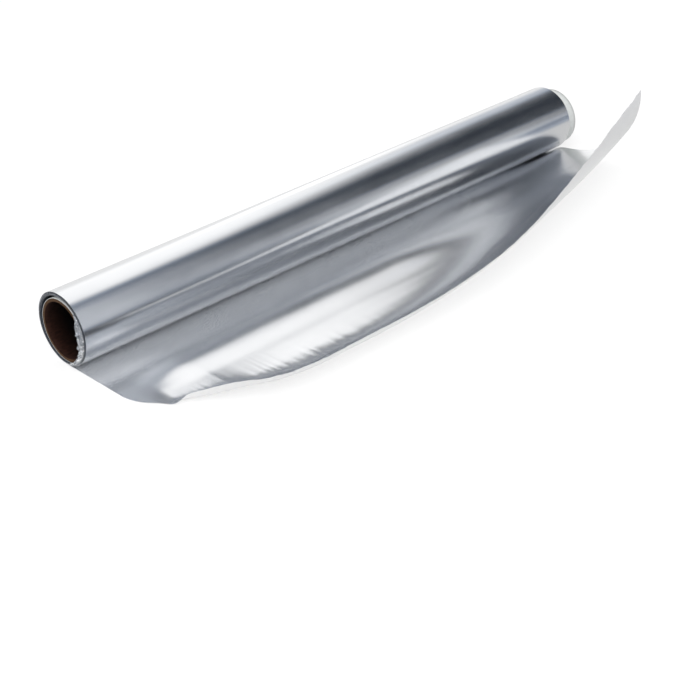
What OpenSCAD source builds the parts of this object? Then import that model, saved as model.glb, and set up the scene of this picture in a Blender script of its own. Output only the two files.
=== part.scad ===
// Household roll of aluminium foil: a cardboard core, and the foil wound on it with a loose tail that
// lies on the table in front of the roll and curls up at its far corner.
// Millimetres. X runs along the roll, the tail leaves towards -Y, and Z is up. The origin is on the
// tube's axis at the near end of the wound foil. Heights are worked out from the table, which lies
// core_height below that axis, and the roll's lowest line runs straight below it.

/* [Core] */
// Length of the cardboard tube
core_length = 308; // [302:0.5:320]
// Outer diameter of the cardboard tube
core_outer_diameter = 28; // [20:0.5:45]
// Thickness of the tube's wound wall
core_wall = 1.5; // [0.8:0.1:3]
// How far the tube stands out of the foil at the near end
core_near_overhang = 0.8; // [0.2:0.1:2]

/* [Wound foil] */
// Width of the foil, which is the length of the wound roll
foil_width = 300; // [260:1:301]
// Number of thick turns, each one standing for many real ones
turn_count = 3; // [2:1:5]
// Thickness of one thick turn, and of the loose tail
turn_thickness = 0.25; // [0.15:0.05:0.4]
// Gap between neighbouring turns under the core, where its weight closes them
gap_below = 0.06; // [0.04:0.01:0.2]
// Gap between neighbouring turns above the core, where the roll has worked loose
gap_above = 0.35; // [0.1:0.05:0.8]
// Free height between the core and the innermost turn
core_slack = 1.5; // [0.6:0.1:3]
// Clearance under the core where it sits in the innermost turn
seat_clearance = 0.1; // [0.05:0.01:0.2]
// How far every second turn is set back at the near end and stands out at the far end
turn_drift = 0.5; // [0.1:0.1:1]

/* [Crumpled inner edge] */
// How far the crumpled edge of the innermost turn stands out past the roll's near end
ruffle_reach = 2.3; // [1.8:0.1:3.5]
// Distance between the tube's bore and the lip of the crumpled edge
ruffle_bore_margin = 1.1; // [0.8:0.1:1.3]
// Height of the crumples
ruffle_wave = 0.35; // [0:0.05:0.5]
// Angle at which the crumpled edge starts, measured from the front, below the middle
ruffle_low_angle = -84; // [-86:1:-40]
// Angle at which it ends, above the middle
ruffle_high_angle = 46; // [10:1:60]

/* [Loose tail] */
// Length the tail would have along its near edge if that corner were whole
tail_near_length = 93; // [60:1:110]
// Length of the tail along its far edge
tail_far_length = 87.5; // [70:0.5:110]
// Length of the tail at the crest of its torn front edge
tail_crest_length = 97; // [80:1:110]
// Distance of that crest from the roll's far end
tail_crest_setback = 99; // [60:1:130]
// How the torn edge bows back on both sides of the crest, where 2 is a parabola
tear_power = 2.3; // [1.5:0.1:3]

/* [Torn near corner] */
// How far back the near corner is torn away
corner_tear = 45; // [20:1:50]
// Distance along the roll over which that tear runs out to about a third
corner_tear_width = 24.5; // [12:0.5:40]
// How much further the tip of the corner is nipped off
corner_nip = 11; // [0:0.5:12]
// Distance along the roll over which the nip runs out to about a third
corner_nip_width = 1.4; // [1:0.1:6]

/* [Curled corner] */
// Radius of the curl once it is full
curl_radius = 46; // [35:1:80]
// Distance over which the curl tightens from flat to that radius
curl_ease = 32; // [10:1:60]
// Angle between the curl's straight lines and the roll
curl_skew = 16; // [5:1:25]
// How far the curl has begun at the roll's far end
curl_lead = 3; // [0:0.5:5]
// Height by which the far edge is lifted off the table beside the roll
edge_lift = 3.3; // [0:0.1:3.5]
// Distance along the roll over which that lift dies out
edge_lift_width = 65; // [30:1:120]
// Distance from the roll within which that lift is reached
edge_lift_rise = 6; // [6:0.5:15]

/* [Turned-up lip] */
// Angle of the lip at its free edge, where it is narrow
lip_near_angle = 67; // [30:1:110]
// Angle of the lip at its free edge, where it is wide
lip_far_angle = 39; // [20:1:70]
// Distance from the free edge at which the narrow lip has flattened out by about two thirds
lip_near_width = 1.5; // [1.5:0.5:8]
// The same distance where the lip is wide
lip_far_width = 20; // [8:0.5:25]
// Where the lip starts, measured from the near end
lip_start = 8; // [5:1:40]
// Distance along the roll over which it widens
lip_spread = 26.5; // [10:0.5:60]
// Where the lip has faded into the large curl
lip_end = 190; // [120:5:200]

/* [Hidden] */
pitch_below = turn_thickness + gap_below;
pitch_above = turn_thickness + gap_above;
seat_height = turn_count * pitch_below + turn_thickness + seat_clearance;
core_height = seat_height + core_outer_diameter / 2;
core_inner_diameter = core_outer_diameter - 2 * core_wall;
roll_height = seat_height + core_outer_diameter + core_slack + (turn_count - 1) * pitch_above + turn_thickness;
// The tail starts this far in front of the roll's lowest line
tail_root = 3;
// Length of the stretch over which the lip rises, and that over which it fades
lip_rise = 6;
lip_fade = 150;
// Powers that shape the torn corner, the fall of the lip's angle and the lip's own section
corner_power = 1.6;
lip_fall_power = 1.7;
lip_section_power = 1.5;
// Rows of points along the roll and along the tail
rows_across = 60;
rows_along = 26;
// How much closer together the rows lie at the free edge and at the near corner
row_crowding = 1.5;
// Steps round the crumpled edge, the number of its crumples to a full circle, and its own thickness
ruffle_steps = 46;
ruffle_coarse = 17;
ruffle_fine = 41;
ruffle_thickness = 0.12;
circle_steps = 96;
kraft = [0.55, 0.38, 0.25];
bright_foil = [0.78, 0.79, 0.81];

// Height of the lowest and of the highest point of a turn
function turn_low(k) = k * pitch_below;
function turn_high(k) = roll_height - k * pitch_above;
// Every second turn has drifted along the roll
function turn_shift(k) = k % 2 == 1 ? turn_drift : 0;

// Flat length of the tail at the place x along the roll: a torn edge that bows out to one crest, less
// what is torn away at the near corner
crest_x = foil_width - tail_crest_setback;
function fallen_back(share, side_length) = (tail_crest_length - side_length) * pow(share, tear_power);
function bowed_length(x) = tail_crest_length - (x < crest_x
    ? fallen_back(1 - x / crest_x, tail_near_length)
    : fallen_back((x - crest_x) / tail_crest_setback, tail_far_length));
function torn_corner(x) =
    corner_tear * exp(-pow(x / corner_tear_width, corner_power)) + corner_nip * exp(-x / corner_nip_width);
function tail_length(x) = bowed_length(x) - torn_corner(x);

// The lip starts narrow and steep near the corner, and widens and flattens along the roll
function smooth(t) = let (c = min(max(t, 0), 1)) c * c * (3 - 2 * c);
function lip_share(x) = smooth((x - lip_start) / lip_rise) * smooth((lip_end - x) / lip_fade);
function lip_growth(x) = min(max((x - lip_start) / lip_spread, 0), 1);
function lip_width(x) = lip_near_width + (lip_far_width - lip_near_width) * lip_growth(x);
function lip_angle(x) = lip_near_angle - (lip_near_angle - lip_far_angle) * pow(lip_growth(x), lip_fall_power);

// Angle in degrees by which the lip turns up at x, where edge is the distance to the free edge
function lip_slope(x, edge) = lip_angle(x) * lip_share(x) * exp(-pow(edge / lip_width(x), lip_section_power));

// Points of the lip's section at x, as [length left after bending, height above the sheet, slope],
// summed up step by step from the roll to the free edge
function row_share(j) = 1 - pow(1 - j / rows_along, row_crowding);
function lip_rows(x) =
    let (span = tail_length(x) - tail_root)
    [for (j = 0, run = tail_root, rise = 0, slope = 0; j <= rows_along;
          j = j + 1,
          step = j > rows_along ? 0 : span * (row_share(j) - row_share(j - 1)),
          slope = lip_slope(x, span * (1 - row_share(min(j, rows_along)))),
          run = run + step * cos(slope),
          rise = rise + step * sin(slope))
        [run, rise, slope]];

// The large curl: past its first straight line the sheet bends as a spiral that eases into an arc.
// Reach is the distance past that line, and the two series are the usual ones for an easing spiral.
function curl_reach(x, s) = (x - foil_width) * sin(curl_skew) + s * cos(curl_skew) + curl_lead;
function eased_turn(w) = w * w / (2 * curl_ease * curl_radius);
function eased_run(w) = let (t = eased_turn(w)) w * (1 - t * t / 10 + pow(t, 4) / 216);
function eased_rise(w) = let (t = eased_turn(w)) w * (t / 3 - pow(t, 3) / 42 + pow(t, 5) / 1320);
ease_turn = eased_turn(curl_ease) * 180 / PI;
function arc_turn(w) = ease_turn + (w - curl_ease) / curl_radius * 180 / PI;
function curl_turn(w) = w <= 0 ? 0 : w < curl_ease ? eased_turn(w) * 180 / PI : arc_turn(w);
function curl_run(w) =
    w <= 0 ? w
    : w < curl_ease ? eased_run(w)
    : eased_run(curl_ease) + curl_radius * (sin(arc_turn(w)) - sin(ease_turn));
function curl_rise(w) =
    w <= 0 ? 0
    : w < curl_ease ? eased_rise(w)
    : eased_rise(curl_ease) + curl_radius * (cos(ease_turn) - cos(arc_turn(w)));

// How far the sheet is free of the roll at the distance s: 0 where it leaves it, 1 further out
function freed(s) = 1 - exp(-pow((s - tail_root) / edge_lift_rise, 2));
function edge_share(x) = pow(max(0, 1 - (foil_width - x) / edge_lift_width), 2);
function lifted(x, s) = edge_lift * edge_share(x) * freed(s);

// A point of the tail: the lip's section is laid on the curled sheet, and depth is measured upwards
// from the sheet's lower face, square to the sheet
function tail_point(x, lip, depth) =
    let (
        w = curl_reach(x, lip[0]),
        turn = curl_turn(w),
        slip = curl_run(w) - w,
        ahead = [sin(curl_skew), -cos(curl_skew), 0],
        along = [cos(curl_skew), sin(curl_skew), 0],
        up = [0, 0, 1],
        outward = ahead * cos(turn) + up * sin(turn),
        square_up = up * cos(turn) - ahead * sin(turn),
        onward = outward * cos(curl_skew) - along * sin(curl_skew),
        face = square_up * cos(lip[2]) - onward * sin(lip[2]),
        foot = [x, -lip[0], 0] + ahead * slip + up * (curl_rise(w) * freed(lip[0]) + lifted(x, lip[0]))
    )
    foot + square_up * lip[1] + face * depth;

// Closes two grids of points, one above the other, into one solid sheet
module sheet_between(lower, upper) {
    columns = len(lower);
    rows = len(lower[0]);
    count = columns * rows;
    points = concat([for (c = lower) each c], [for (c = upper) each c]);
    cells = [for (i = [0 : columns - 2]) for (j = [0 : rows - 2]) i * rows + j];
    first = [for (j = [0 : rows - 2]) j];
    side = [for (i = [0 : columns - 2]) i * rows];
    faces = concat(
        [for (a = cells) each [[a, a + 1, a + rows + 1], [a, a + rows + 1, a + rows]]],
        [for (b = cells) let (a = b + count)
            each [[a, a + rows + 1, a + 1], [a, a + rows, a + rows + 1]]],
        [for (a = first) each [[a, a + count, a + 1], [a + 1, a + count, a + count + 1]]],
        [for (b = first) let (a = b + count - rows)
            each [[a, a + 1, a + count], [a + 1, a + count + 1, a + count]]],
        [for (a = side) each [[a, a + rows, a + count], [a + rows, a + rows + count, a + count]]],
        [for (b = side) let (a = b + rows - 1)
            each [[a, a + count, a + rows], [a + rows, a + count, a + rows + count]]]
    );
    polyhedron(points, faces, convexity = 6);
}

module tail() {
    places = [for (i = [0 : rows_across]) foil_width * pow(i / rows_across, row_crowding)];
    sections = [for (x = places) lip_rows(x)];
    function face_grid(depth) = [for (i = [0 : rows_across])
        [for (lip = sections[i]) tail_point(places[i], lip, depth)]];
    sheet_between(face_grid(0), face_grid(turn_thickness));
}

// Half of one turn, between its lowest and its highest point, on the back (1) or the front (-1)
module half_turn(low, high, side) {
    radius = (high - low) / 2;
    translate([0, low + radius]) intersection() {
        difference() {
            circle(radius, $fn = circle_steps);
            circle(radius - turn_thickness, $fn = circle_steps);
        }
        translate([side > 0 ? 0 : -2 * radius, -2 * radius]) square([2 * radius, 4 * radius]);
    }
}

// Stands a section in Y and Z up along the roll
module along_roll(start, length) {
    translate([start, 0, 0]) rotate([90, 0, 90]) linear_extrude(height = length) children();
}

// The turns run in from the tail as half circles, up the back and down the front, each one smaller
module wound_turns() {
    for (k = [0 : turn_count - 1]) along_roll(turn_shift(k), foil_width) {
        half_turn(turn_low(k), turn_high(k), 1);
        half_turn(turn_low(k + 1), turn_high(k), -1);
    }
    along_roll(0, foil_width) translate([-tail_root, 0]) square([tail_root, turn_thickness]);
}

// The crumpled edge: it grows out of the middle of the innermost turn and closes in on the tube's end.
// Each ring is [place along the roll, share of the way to the lip, share of the crumples]
inner_low = turn_low(turn_count);
inner_high = turn_high(turn_count - 1);
inner_middle = (inner_low + inner_high) / 2;
inner_radius = (inner_high - inner_low - turn_thickness) / 2;
lip_radius = core_inner_diameter / 2 + ruffle_bore_margin;
ruffle_rings = [[turn_drift + 0.6, 0, 0], [-core_near_overhang - 0.2, 0.1, 0], [-ruffle_reach * 0.7, 0.6, 0.8],
    [-ruffle_reach, 1, 1]];
function crumple(a, ring) = sin(ruffle_coarse * a + 70 * ring) * 0.6 + sin(ruffle_fine * a + 110 * ring) * 0.4;
function ruffle_point(a, r, depth) =
    let (
        ring = ruffle_rings[r],
        middle = inner_middle + (core_height - inner_middle) * ring[1],
        wave = ruffle_wave * ring[2] * crumple(a, r),
        radius = inner_radius + (lip_radius - inner_radius) * ring[1] + wave + depth
    )
    [ring[0] - ruffle_wave * ring[2] * crumple(a + 40, r), -radius * cos(a), middle + radius * sin(a)];
module crumpled_edge() {
    span = ruffle_high_angle - ruffle_low_angle;
    angles = [for (i = [0 : ruffle_steps]) ruffle_low_angle + span * i / ruffle_steps];
    function ring_grid(depth) = [for (a = angles)
        [for (r = [0 : len(ruffle_rings) - 1]) ruffle_point(a, r, depth)]];
    sheet_between(ring_grid(-ruffle_thickness / 2), ring_grid(ruffle_thickness / 2));
}

module core() {
    color(kraft) translate([-core_near_overhang, 0, 0]) rotate([0, 90, 0]) difference() {
        cylinder(h = core_length, d = core_outer_diameter, $fn = circle_steps);
        translate([0, 0, -1]) cylinder(h = core_length + 2, d = core_inner_diameter, $fn = circle_steps);
    }
}

module foil() {
    color(bright_foil) translate([0, 0, -core_height]) union() {
        wound_turns();
        tail();
        crumpled_edge();
    }
}

core();
foil();
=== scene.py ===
"""Dresses the packed roll of aluminium foil in a pale studio, inside Blender.

The frame is in metres: X runs along the roll, the loose tail leaves towards -Y, Z is up, and the origin
is on the tube's axis at the near end of the wound foil. Every shape here is a surface on a grid, worked
out with numpy from named sizes, and every piece stays where its packed node is.
"""

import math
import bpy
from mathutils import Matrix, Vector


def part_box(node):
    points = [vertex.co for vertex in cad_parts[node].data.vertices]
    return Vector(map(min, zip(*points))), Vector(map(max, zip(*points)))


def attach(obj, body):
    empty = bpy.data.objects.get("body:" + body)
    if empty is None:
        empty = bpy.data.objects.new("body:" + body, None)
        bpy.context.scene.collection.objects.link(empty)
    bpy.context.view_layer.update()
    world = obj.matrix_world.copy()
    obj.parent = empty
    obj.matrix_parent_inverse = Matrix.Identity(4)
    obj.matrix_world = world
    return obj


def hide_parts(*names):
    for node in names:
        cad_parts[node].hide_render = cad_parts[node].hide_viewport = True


bl_info = {
    "name": "Foil Roll Dresser",
    "version": (1, 0, 0),
    "blender": (4, 5, 0),
    "location": "View3D > Sidebar > Foil Roll",
    "description": "Builds the foil, its cardboard tube and a pale studio round the packed part",
    "category": "Object",
}

import bpy
import numpy as np
from mathutils import Matrix, Vector

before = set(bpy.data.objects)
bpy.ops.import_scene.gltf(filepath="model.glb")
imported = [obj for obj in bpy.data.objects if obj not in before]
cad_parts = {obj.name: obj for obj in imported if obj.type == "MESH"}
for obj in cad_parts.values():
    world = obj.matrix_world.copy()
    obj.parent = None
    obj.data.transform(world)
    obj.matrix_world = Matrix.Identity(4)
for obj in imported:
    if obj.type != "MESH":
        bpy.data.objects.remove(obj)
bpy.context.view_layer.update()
CORE_LOW, CORE_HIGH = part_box("core")
TABLE_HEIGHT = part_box("foil")[0].z
MM = 0.001
# How far the tube's near end lies inside its node's, which leaves it about flush with the foil
NEAR_SETBACK = 1.05 * MM


# Properties


def length(name, description, default, low=0.0, high=1.0):
    """A length property in metres."""
    return bpy.props.FloatProperty(
        name=name, description=description, default=default, min=low, max=high, precision=5, unit="LENGTH"
    )


def angle(name, description, degrees):
    """An angle property, given in degrees."""
    return bpy.props.FloatProperty(
        name=name, description=description, default=math.radians(degrees), unit="ROTATION"
    )


def number(name, description, default, low=0.0, high=10.0):
    """A plain number property."""
    return bpy.props.FloatProperty(name=name, description=description, default=default, min=low, max=high)


def colour(name, description, default):
    """A colour property."""
    return bpy.props.FloatVectorProperty(
        name=name, description=description, default=default, size=3, min=0.0, max=1.0, subtype="COLOR"
    )


class TubeSizes(bpy.types.PropertyGroup):
    """Sizes of the cardboard tube."""

    start: length("Near end", "Place of its near end along the roll", CORE_LOW.x + NEAR_SETBACK, -0.1)
    span: length("Length", "Length of the tube", CORE_HIGH.x - CORE_LOW.x - NEAR_SETBACK)
    radius: length("Outer radius", "Outer radius of the tube", CORE_HIGH.z)
    wall: length("Wall", "Thickness of the wound wall", 1.5 * MM)
    ply: length("Ply", "Thickness of one ply of board", 0.3 * MM)
    ply_width: length("Ply width", "Width of the strip that is wound into the tube", 55 * MM)


class WoundSizes(bpy.types.PropertyGroup):
    """Sizes of the wound foil."""

    width: length("Width", "Width of the foil along the roll", 300 * MM)
    height: length("Height", "Height of the wound roll over the table", 32.23 * MM)
    build_below: length("Build below", "Height of all turns under the tube", 0.93 * MM)
    build_above: length("Build above", "Height of all turns over the tube, with their slack", 1.8 * MM)
    turns: bpy.props.IntProperty(name="Turns", description="Turns that show at the ends", default=6, min=2)
    sheet: length("Sheet", "Thickness that one layer of foil is given", 0.06 * MM)
    drift: length("Drift", "How far the turns drift along the roll", 0.25 * MM)
    waviness: length("Waviness", "Height of the soft waves in the outer turn", 0.02 * MM)


class TailSizes(bpy.types.PropertyGroup):
    """Sizes of the loose tail and its curled corner."""

    near_length: length("Near length", "Length along the near edge if its corner were whole", 93 * MM)
    far_length: length("Far length", "Length of the tail along its far edge", 87.5 * MM)
    crest_length: length("Crest length", "Length at the crest of the torn edge", 97 * MM)
    crest_setback: length("Crest setback", "Distance of that crest from the far edge", 99 * MM)
    tear_power: number("Tear power", "How the torn edge bows, where 2 is a parabola", 2.3)
    corner_tear: length("Corner tear", "How far back the near corner is torn away", 45 * MM)
    corner_tear_width: length("Corner tear width", "Distance over which that tear runs out", 24.5 * MM)
    corner_nip: length("Corner nip", "How much further the tip of the corner is nipped off", 11 * MM)
    corner_nip_width: length("Corner nip width", "Distance over which the nip runs out", 1.4 * MM)
    root: length("Root", "Length that lies flat under the roll", 3 * MM)
    curl_radius: length("Curl radius", "Radius of the curl once it is full", 46 * MM)
    curl_ease: length("Curl ease", "Distance over which the curl tightens to that radius", 32 * MM)
    curl_skew: angle("Curl skew", "Angle between the curl's straight lines and the roll", 16)
    curl_lead: length("Curl lead", "How far the curl has begun at the roll's far end", 3 * MM)
    edge_lift: length("Edge lift", "Height by which the far edge is lifted beside the roll", 3.3 * MM)
    edge_lift_width: length("Edge lift width", "Distance over which that lift dies out", 65 * MM)
    edge_lift_rise: length("Edge lift rise", "Distance from the roll in which it is reached", 6 * MM)
    lip_near_angle: angle("Lip near angle", "Angle of the lip at its free edge where it is narrow", 67)
    lip_far_angle: angle("Lip far angle", "Angle of the lip at its free edge where it is wide", 39)
    lip_near_width: length("Lip near width", "Width of the lip where it starts", 1.5 * MM)
    lip_far_width: length("Lip far width", "Width of the lip once it has spread", 20 * MM)
    lip_start: length("Lip start", "Place where the lip starts", 8 * MM)
    lip_spread: length("Lip spread", "Distance over which it widens", 26.5 * MM)
    lip_rise: length("Lip rise", "Distance over which it rises", 6 * MM)
    lip_end: length("Lip end", "Place where the lip has faded", 190 * MM)
    lip_fade: length("Lip fade", "Distance over which it fades", 150 * MM)
    ridge: length("Ridge", "Height of the soft ridge that runs along the roll", 1.05 * MM)
    corner_rise: length("Corner rise", "Height by which the near corner rises", 0.9 * MM)
    wrinkle: length("Wrinkle", "Height of the soft wrinkles", 0.05 * MM)
    flutter: length("Flutter", "Height of the fine flutter at the torn edge", 0.09 * MM)
    raggedness: length("Raggedness", "How far the torn edge strays from its line", 0.5 * MM)


class RuffleSizes(bpy.types.PropertyGroup):
    """Sizes of the crumpled edge that closes in over the tube's near end."""

    reach: length("Reach", "How far it stands out past the roll's near end", 2.3 * MM)
    root: length("Root", "How far inside the roll's near end it begins", 1.1 * MM)
    sheet: length("Sheet", "Thickness that its foil is given", 0.04 * MM)
    bore_margin: length("Bore margin", "Distance between the tube's bore and its lip", 1.1 * MM)
    low_angle: angle("Low angle", "Where it starts, below the middle of the front", -84)
    high_angle: angle("High angle", "Where it ends, above the middle of the front", 46)
    crumple: length("Crumple", "Height of its crumples", 0.75 * MM)
    scallop: length("Scallop", "How far its rim swings along the roll", 0.5 * MM)


class FinishColours(bpy.types.PropertyGroup):
    """Colours of the finishes."""

    bright: colour("Bright side", "Metal colour of the foil's bright side", (0.937, 0.944, 0.955))
    dull: colour("Dull side", "Colour of the foil's dull side", (0.85, 0.85, 0.85))
    # The turns inside the outermost get a dark slate metal: painted shade, for they lie in the outermost
    # turn's shade
    shaded: colour("Shaded foil", "Metal colour of the turns inside the outermost", (0.14, 0.16, 0.20))
    # The crumpled edge's metal is darker than the bright side's, as painted shade that dims what its
    # facets mirror
    crumpled: colour("Crumpled foil", "Metal colour of the crumpled edge", (0.80, 0.81, 0.82))
    # The cut edges' dark slate tone is painted shade from the gaps between the turns
    cut: colour("Cut edge", "Colour of the turns' cut edges", (0.40, 0.42, 0.46))
    kraft: colour("Kraft", "Colour of the brown board", (0.085, 0.045, 0.022))
    ply: colour("Outer ply", "Colour of the tube's pale outer ply", (0.66, 0.68, 0.67))
    # The bore's very dark brown is partly the inner ply's own colour and partly painted shade inside the
    # tube
    bore: colour("Bore", "Colour of the tube's inner ply", (0.026, 0.0095, 0.006))


class StudioSettings(bpy.types.PropertyGroup):
    """Sizes and levels of the studio."""

    floor: colour("Floor", "Colour of the floor", (0.80, 0.80, 0.80))
    ambient: number("Ambient", "Strength of the soft light from all round", 0.75)
    lamp: number("Lamp", "Power of the soft lamp over the table, in watts", 14.0, 0.0, 1000.0)
    surround: length("Surround", "Radius of the surround that the metal mirrors", 1.5, 0.1, 5.0)
    camera_lens: number("Lens", "Focal length of the camera, in millimetres", 81.55, 1.0, 500.0)


GROUPS = {
    "foil_tube": TubeSizes,
    "foil_wound": WoundSizes,
    "foil_tail": TailSizes,
    "foil_ruffle": RuffleSizes,
    "foil_finish": FinishColours,
    "foil_studio": StudioSettings,
}


# Surfaces


def smooth(t):
    """A step that eases from 0 to 1 while t goes from 0 to 1: three t squared less two t cubed."""
    c = np.clip(t, 0.0, 1.0)
    return c * c * (3.0 - 2.0 * c)


def fade_in(value, start, distance):
    """Eases from 0 at the start to 1 at the distance past it."""
    return smooth((value - start) / distance)


def fade_out(value, end, distance):
    """Eases from 1 at the distance before the end to 0 at the end."""
    return smooth((end - value) / distance)


def soft_noise(u, v, seed, cells=64):
    """Random heights from -1 to 1 at whole values of u and v, joined by eased steps between them."""
    lattice = np.random.default_rng(seed).uniform(-1.0, 1.0, (cells, cells))
    u, v = np.broadcast_arrays(u, v)
    column, row = np.floor(u).astype(int), np.floor(v).astype(int)
    fu, fv = smooth(u - column), smooth(v - row)
    a, b = column % cells, row % cells
    a1, b1 = (a + 1) % cells, (b + 1) % cells
    low = lattice[a, b] * (1 - fu) + lattice[a1, b] * fu
    high = lattice[a, b1] * (1 - fu) + lattice[a1, b1] * fu
    return low * (1 - fv) + high * fv


# Soft noises: the seed, and the size of a cell in the first and in the second direction. Both are in
# metres, apart from the crumpled edge's, which are an angle round the roll and a share of its reach.
PATTERNS = {
    "coarse waves": (3, 110 * MM, 11 * MM),
    "fine waves": (4, 45 * MM, 5 * MM),
    "cut edge": (5, 4 * MM, 1.0),
    "coarse tear": (21, 5 * MM, 1.0),
    "fine tear": (22, 1.3 * MM, 1.0),
    "streaks": (31, 70 * MM, 3.2 * MM),
    "small dents": (32, 24 * MM, 10 * MM),
    "large dents": (33, 55 * MM, 17 * MM),
    "flutter": (34, 3.2 * MM, 3 * MM),
    "folds": (42, 1 / 9, 1 / 2),
    "scallops": (43, 1 / 14, 1.0),
}


def pattern(name, first, second):
    """The soft noise of that name, with both directions measured in its cells."""
    seed, first_cell, second_cell = PATTERNS[name]
    return soft_noise(first / first_cell, second / second_cell, seed)


def surface_normals(grid):
    """Unit normals of a grid of points: the cross product of its two directions of travel."""
    across = np.gradient(grid, axis=0)
    along = np.gradient(grid, axis=1)
    normal = np.cross(across, along)
    return normal / np.linalg.norm(normal, axis=-1, keepdims=True)


def placed(name, data):
    """A new object with that data, in the scene."""
    obj = bpy.data.objects.new(name, data)
    bpy.context.scene.collection.objects.link(obj)
    return obj


def new_piece(name, points, quads, materials, material_index, uv, sharp=None, smooth_faces=True):
    """Makes a mesh of quads from whole arrays, with a UV map and sharp edges, and returns its object."""
    mesh = bpy.data.meshes.new(name)
    mesh.vertices.add(len(points))
    mesh.vertices.foreach_set("co", np.ascontiguousarray(points, np.float32).ravel())
    mesh.loops.add(quads.size)
    mesh.loops.foreach_set("vertex_index", np.ascontiguousarray(quads, np.int32).ravel())
    mesh.polygons.add(len(quads))
    mesh.polygons.foreach_set("loop_start", np.arange(0, quads.size, 4, dtype=np.int32))
    mesh.polygons.foreach_set("material_index", np.ascontiguousarray(material_index, np.int32))
    mesh.polygons.foreach_set("use_smooth", np.full(len(quads), smooth_faces))
    mesh.update(calc_edges=True)
    layer = mesh.uv_layers.new(name="strip")
    layer.data.foreach_set("uv", np.ascontiguousarray(uv[quads.ravel()], np.float32).ravel())
    if sharp is not None:
        ends = np.empty(len(mesh.edges) * 2, np.int32)
        mesh.edges.foreach_get("vertices", ends)
        ends = ends.reshape(-1, 2)
        marked = (sharp[ends[:, 0]] > 0) & (sharp[ends[:, 0]] == sharp[ends[:, 1]])
        attribute = mesh.attributes.new("sharp_edge", "BOOLEAN", "EDGE")
        attribute.data.foreach_set("value", marked)
    for material in materials:
        mesh.materials.append(material)
    mesh.validate()
    return placed(name, mesh)


def grid_quads(columns, rows):
    """Corners of the cells of a grid whose points are numbered row by row within each column."""
    i, j = np.meshgrid(np.arange(columns - 1), np.arange(rows - 1), indexing="ij")
    a = (i * rows + j).ravel()
    return np.stack([a, a + rows, a + rows + 1, a + 1], axis=1)


def foil_sheet(name, grid, uv, thickness, materials, smooth_faces=True, rim=0):
    """Closes a grid into a thin sheet: one face lies half the thickness along the normals, the other
    half against them, and a strip of quads joins the two all round. The first material is on the face
    that the normals point to, the second on the other, and rim is the index of the strip's own."""
    columns, rows = grid.shape[:2]
    normals = surface_normals(grid)
    points = np.concatenate([(grid + normals * thickness / 2).reshape(-1, 3),
                             (grid - normals * thickness / 2).reshape(-1, 3)])
    count = columns * rows
    face = grid_quads(columns, rows)
    index = np.arange(count).reshape(columns, rows)
    loop = np.concatenate([index[:, 0], index[-1, 1:], index[-2::-1, -1], index[0, -2:0:-1]])
    onward = np.roll(loop, -1)
    strip = np.stack([loop, loop + count, onward + count, onward], axis=1)
    quads = np.concatenate([face, face[:, ::-1] + count, strip])
    kinds = np.concatenate([np.zeros(len(face)), np.ones(len(face)), np.full(len(strip), rim)])
    flat_uv = uv.reshape(-1, 2)
    sharp = np.zeros(2 * count, int)
    sharp[loop] = 1
    sharp[loop + count] = 2
    return new_piece(name, points, quads, materials, kinds, np.concatenate([flat_uv, flat_uv]),
                     sharp, smooth_faces)


def strip_uv(across, along):
    """The strip's own map: U runs across the foil's width and V along its length, both in metres."""
    return np.stack(np.broadcast_arrays(across, along), axis=-1)


# Wound foil

# A turn starts straight under the axis and ends there once round
TURN_START, TURN_END = -0.5 * np.pi, 1.5 * np.pi
# Angle over which the outermost turn's waves die out towards its ends, and the share of fine ones
WAVES_HELD, FINE_WAVES = 0.3, 0.5
# How far that turn's cut edges stray, and how far along the roll that reaches
EDGE_STRAY, EDGE_STRAY_WIDTH = 0.06 * MM, 4 * MM
# Drift of the first turn inside the outermost, as a share of the most
FIRST_DRIFT = 0.6


def turn_radii(sizes, k):
    """Height of the lowest and of the highest point of turn k, counted inwards from the outermost."""
    low = k * sizes.build_below / sizes.turns
    high = sizes.height - k * sizes.build_above / sizes.turns
    return low, high


def turn_surface(sizes, k, columns, steps):
    """One turn of the spiral as two half circles: up the back, and down the front to the next turn's
    lowest point. Returns, over the grid, the place along the roll, the angle round it, the radius, the
    height of the circle's middle over the table and the distance along the strip."""
    low, high = turn_radii(sizes, k)
    inner_low = turn_radii(sizes, k + 1)[0]
    turn = np.linspace(TURN_START, TURN_END, steps)[None, :]
    back = turn <= 0.5 * np.pi
    bottom = np.where(back, low, inner_low)
    radius = (high - bottom) / 2 - sizes.sheet / 2
    middle = (high + bottom) / 2
    x = np.linspace(0.0, sizes.width, columns)[:, None] + 0.0 * turn
    distance = radius * (turn - TURN_START) + 0.0 * x
    return x, turn, radius, middle, distance


def turn_points(x, turn, radius, middle):
    """Points of a turn: round the axis at the radius, over the table by the middle's height."""
    y = radius * np.cos(turn)
    z = TABLE_HEIGHT + middle + radius * np.sin(turn)
    return np.stack(np.broadcast_arrays(x, y, z), axis=-1)


def outer_turn(sizes, finish):
    """The outermost turn, with soft waves that run round it and barely change along the roll. They die
    out towards both ends of the turn, and its cut edges stray a little along the roll."""
    x, turn, radius, middle, distance = turn_surface(sizes, 0, columns=281, steps=161)
    waves = pattern("coarse waves", x, distance) + FINE_WAVES * pattern("fine waves", x, distance)
    held = fade_in(turn, TURN_START, WAVES_HELD) * fade_out(turn, TURN_END, WAVES_HELD)
    edge = EDGE_STRAY * pattern("cut edge", distance, 0.0)
    near = fade_out(x, EDGE_STRAY_WIDTH, EDGE_STRAY_WIDTH)
    far = fade_in(x, sizes.width - EDGE_STRAY_WIDTH, EDGE_STRAY_WIDTH)
    grid = turn_points(x + edge * (near - far), turn, radius + sizes.waviness * waves * held, middle)
    uv = strip_uv(x, -distance)
    return foil_sheet("outer_turn", grid[::-1], uv[::-1], sizes.sheet,
                      [finish["bright_side"], finish["dull_side"]])


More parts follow.
